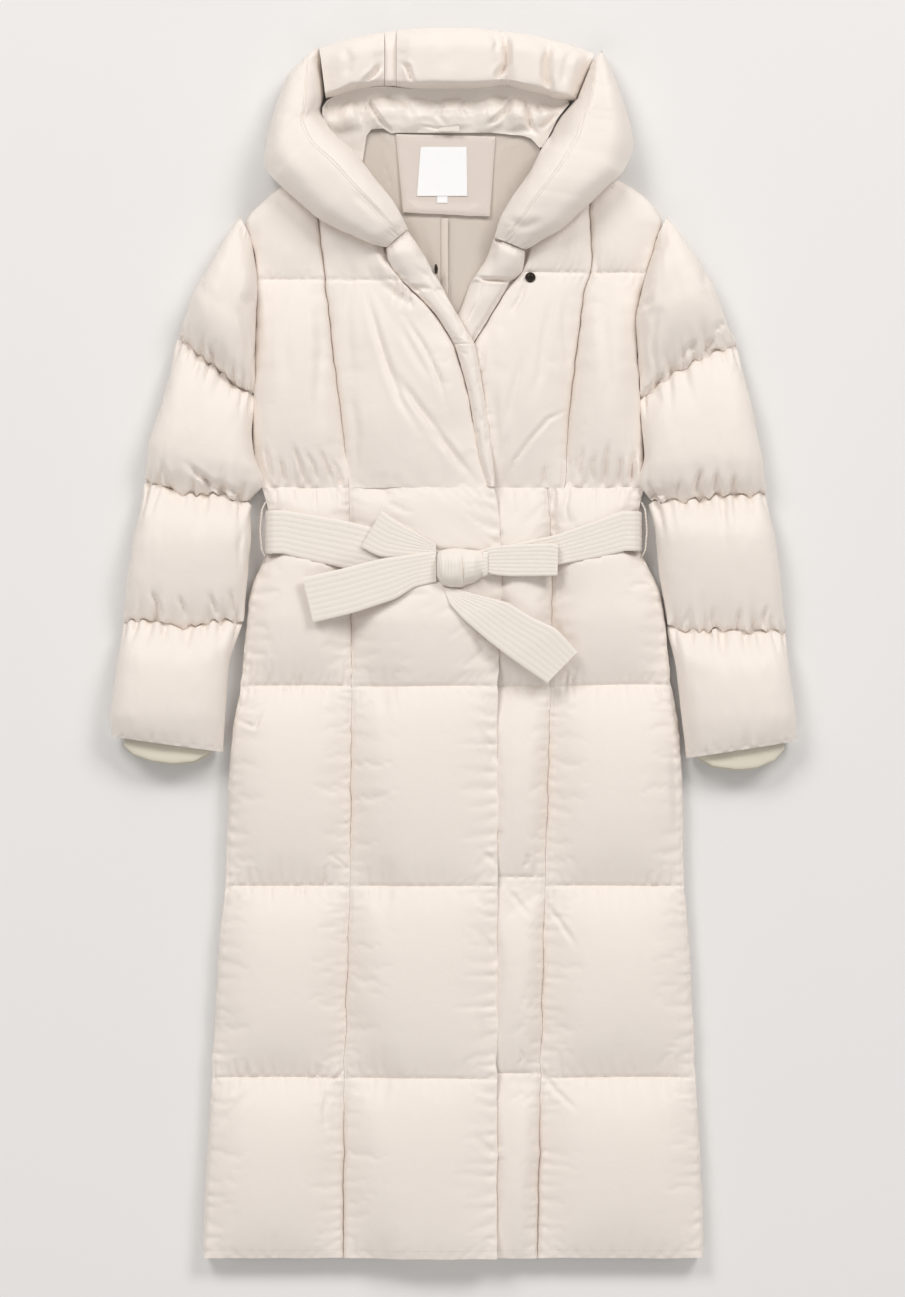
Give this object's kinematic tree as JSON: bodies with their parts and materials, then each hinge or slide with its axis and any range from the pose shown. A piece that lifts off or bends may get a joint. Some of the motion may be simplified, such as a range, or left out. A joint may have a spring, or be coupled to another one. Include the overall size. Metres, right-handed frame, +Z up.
{
  "type": "long hooded puffer coat with tie belt, laid flat",
  "caption": "Long padded wrap coat with quilted fields, big padded hood and tied belt, laid flat on its back with its front facing up.",
  "frame": {"origin": "under the middle of the laid-out coat, on the surface it lies on", "axes": "+Y from the hem to the hood, +Z up from the surface, +X to the wearer's left"},
  "size_m": [0.7948, 1.428, 0.0808],
  "materials": {
    "shell": "smooth matt warm off-white shell cloth with a soft sheen",
    "belt_cloth": "the shell cloth, stitched in parallel channels",
    "satin": "crinkled satin hood lining, cream-beige",
    "body_lining": "smooth taupe lining twill",
    "cuff_cloth": "matt cream inner cuff",
    "label": "blank white woven label",
    "snap_metal": "near-black metal press snap"
  },
  "bodies": {
    "root": {"back_skirt": "shell", "back_bodice": "shell", "right_skirt_side": "shell", "right_skirt_centre": "shell", "left_skirt_side": "shell", "left_skirt_centre": "shell", "right_chest_side": "shell", "right_chest_centre": "shell", "left_chest_side": "shell", "left_chest_centre": "shell", "right_front_facing": "shell", "left_front_facing": "shell", "right_collar_tab": "shell", "left_collar_tab": "shell", "sleeve_right": "shell", "sleeve_left": "shell", "inner_cuff_right": "cuff_cloth", "inner_cuff_left": "cuff_cloth", "hood_rim_right": "shell", "hood_rim_left": "shell", "hood_crown_right": "shell", "hood_crown_strip": "shell", "hood_crown_left": "shell", "hood_back": "shell", "hood_lining": "satin", "hood_lining_corner": "satin", "back_lining": "body_lining", "lining_pleat": "body_lining", "label_patch": "shell", "neck_label": "label", "size_tag": "label", "snap_left": "snap_metal", "snap_right": "snap_metal", "belt_run_right": "belt_cloth", "belt_run_left": "belt_cloth", "belt_back": "belt_cloth", "belt_knot": "belt_cloth", "belt_tail_right": "belt_cloth", "belt_tail_left": "belt_cloth", "belt_end_right": "belt_cloth", "belt_bow_left": "belt_cloth", "belt_loop_right": "belt_cloth", "belt_loop_left": "belt_cloth"}
  },
  "joints": []
}
